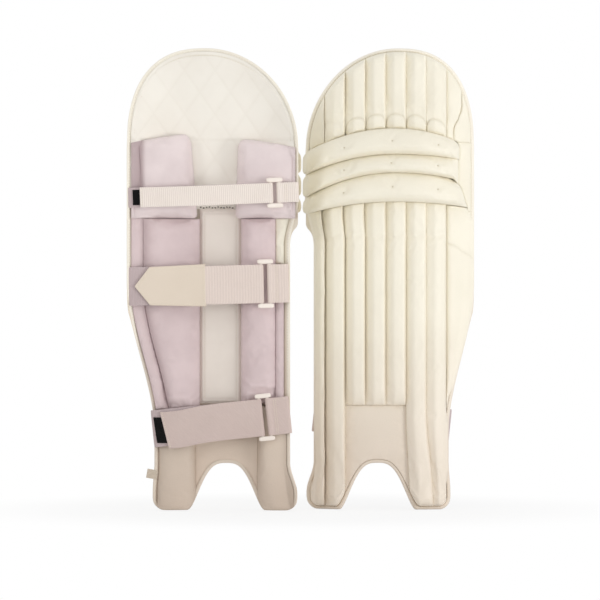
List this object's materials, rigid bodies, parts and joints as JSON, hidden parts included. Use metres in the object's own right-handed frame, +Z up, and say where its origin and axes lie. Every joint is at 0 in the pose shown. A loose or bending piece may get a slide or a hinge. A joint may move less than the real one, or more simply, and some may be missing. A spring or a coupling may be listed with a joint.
{
  "type": "batting leg guards",
  "caption": "Upright pair of padded batting leg guards with a ribbed face, knee rolls, a domed top, a foot arch and webbing straps that peel open at plastic buckles.",
  "frame": {"origin": "on the floor, midway between the two pads and midway through their depth", "axes": "+Z up, +X to the viewer's right along the pair, -Y towards the viewer of the picture"},
  "size_m": [0.527, 0.1216, 0.7],
  "materials": {
    "facing": "soft matt coated cloth",
    "core": "foam under coated cloth",
    "soft_cloth": "brushed cloth",
    "lining": "smooth quilted cloth",
    "cane": "split cane",
    "thread": "thread",
    "tape": "woven tape",
    "webbing": "woven webbing",
    "buckle": "moulded",
    "hook": "hook tape",
    "patch": "soft matt coated cloth"
  },
  "bodies": {
    "left_pad": {"left_foam_core": "core", "left_shin_ribs": "facing", "left_instep_panel": "facing", "left_canes": "cane", "left_knee_roll_upper": "facing", "left_knee_roll_middle": "facing", "left_knee_roll_lower": "facing", "left_roll_ties": "thread", "left_top_hat": "facing", "left_side_wing": "facing", "left_knee_gusset": "facing", "left_edge_binding": "facing", "left_quilted_lining": "lining", "left_knee_cushions": "soft_cloth", "left_shin_bolsters": "soft_cloth", "left_side_rolls": "soft_cloth", "left_shin_panel": "lining", "left_foot_rolls": "facing", "left_side_tab": "tape", "left_strap_runs": "webbing", "left_strap_anchors": "webbing"},
    "right_pad": {"right_foam_core": "core", "right_shin_ribs": "facing", "right_instep_panel": "facing", "right_canes": "cane", "right_knee_roll_upper": "facing", "right_knee_roll_middle": "facing", "right_knee_roll_lower": "facing", "right_roll_ties": "thread", "right_top_hat": "facing", "right_side_wing": "facing", "right_knee_gusset": "facing", "right_edge_binding": "facing", "right_quilted_lining": "lining", "right_knee_cushions": "soft_cloth", "right_shin_bolsters": "soft_cloth", "right_side_rolls": "soft_cloth", "right_shin_panel": "lining", "right_foot_rolls": "facing", "right_side_tab": "tape", "right_strap_runs": "webbing", "right_strap_anchors": "webbing"},
    "left_knee_loop": {"left_knee_buckle": "buckle"},
    "left_knee_flap": {"left_knee_strap": "webbing", "left_knee_hook": "hook"},
    "left_calf_loop": {"left_calf_buckle": "buckle"},
    "left_calf_flap": {"left_calf_strap": "webbing", "left_calf_patch": "patch"},
    "left_ankle_loop": {"left_ankle_buckle": "buckle"},
    "left_ankle_flap": {"left_ankle_strap": "webbing", "left_ankle_hook": "hook"},
    "right_knee_loop": {"right_knee_buckle": "buckle"},
    "right_knee_flap": {"right_knee_strap": "webbing", "right_knee_hook": "hook"},
    "right_calf_loop": {"right_calf_buckle": "buckle"},
    "right_calf_flap": {"right_calf_strap": "webbing", "right_calf_patch": "patch"},
    "right_ankle_loop": {"right_ankle_buckle": "buckle"},
    "right_ankle_flap": {"right_ankle_strap": "webbing", "right_ankle_hook": "hook"}
  },
  "joints": [
    {"name": "right_pad_carry", "type": "slide", "parent": "left_pad", "child": "right_pad", "axis": [1, 0, 0], "range_m": [0, 0.3]},
    {"name": "left_knee_buckle_swing", "type": "hinge", "parent": "left_pad", "child": "left_knee_loop", "pos_m": [-0.0345, -0.05432, 0.47983], "axis": [-0.0349, -0.0004, 0.9994], "range_deg": [0, 40]},
    {"name": "left_knee_strap_peel", "type": "hinge", "parent": "left_knee_loop", "child": "left_knee_flap", "pos_m": [-0.0475, -0.05448, 0.47937], "axis": [-0.0349, -0.0004, 0.9994], "range_deg": [0, 130]},
    {"name": "left_calf_buckle_swing", "type": "hinge", "parent": "left_pad", "child": "left_calf_loop", "pos_m": [-0.04851, -0.04541, 0.34274], "axis": [-0.0209, -0.001, 0.9998], "range_deg": [0, 40]},
    {"name": "left_calf_strap_peel", "type": "hinge", "parent": "left_calf_loop", "child": "left_calf_flap", "pos_m": [-0.06149, -0.04606, 0.34246], "axis": [-0.0209, -0.001, 0.9998], "range_deg": [0, 130]},
    {"name": "left_ankle_buckle_swing", "type": "hinge", "parent": "left_pad", "child": "left_ankle_loop", "pos_m": [-0.04954, -0.04084, 0.14168], "axis": [-0.1044, 0.0041, 0.9945], "range_deg": [0, 40]},
    {"name": "left_ankle_strap_peel", "type": "hinge", "parent": "left_ankle_loop", "child": "left_ankle_flap", "pos_m": [-0.06246, -0.04033, 0.14032], "axis": [-0.1044, 0.0041, 0.9945], "range_deg": [0, 130]},
    {"name": "right_knee_buckle_swing", "type": "hinge", "parent": "right_pad", "child": "right_knee_loop", "pos_m": [0.0345, 0.05432, 0.47983], "axis": [0.0349, 0.0004, 0.9994], "range_deg": [0, 40]},
    {"name": "right_knee_strap_peel", "type": "hinge", "parent": "right_knee_loop", "child": "right_knee_flap", "pos_m": [0.0475, 0.05448, 0.47937], "axis": [0.0349, 0.0004, 0.9994], "range_deg": [0, 130]},
    {"name": "right_calf_buckle_swing", "type": "hinge", "parent": "right_pad", "child": "right_calf_loop", "pos_m": [0.04851, 0.04541, 0.34274], "axis": [0.0209, 0.001, 0.9998], "range_deg": [0, 40]},
    {"name": "right_calf_strap_peel", "type": "hinge", "parent": "right_calf_loop", "child": "right_calf_flap", "pos_m": [0.06149, 0.04606, 0.34246], "axis": [0.0209, 0.001, 0.9998], "range_deg": [0, 130]},
    {"name": "right_ankle_buckle_swing", "type": "hinge", "parent": "right_pad", "child": "right_ankle_loop", "pos_m": [0.04954, 0.04084, 0.14168], "axis": [0.1044, -0.0041, 0.9945], "range_deg": [0, 40]},
    {"name": "right_ankle_strap_peel", "type": "hinge", "parent": "right_ankle_loop", "child": "right_ankle_flap", "pos_m": [0.06246, 0.04033, 0.14032], "axis": [0.1044, -0.0041, 0.9945], "range_deg": [0, 130]}
  ]
}
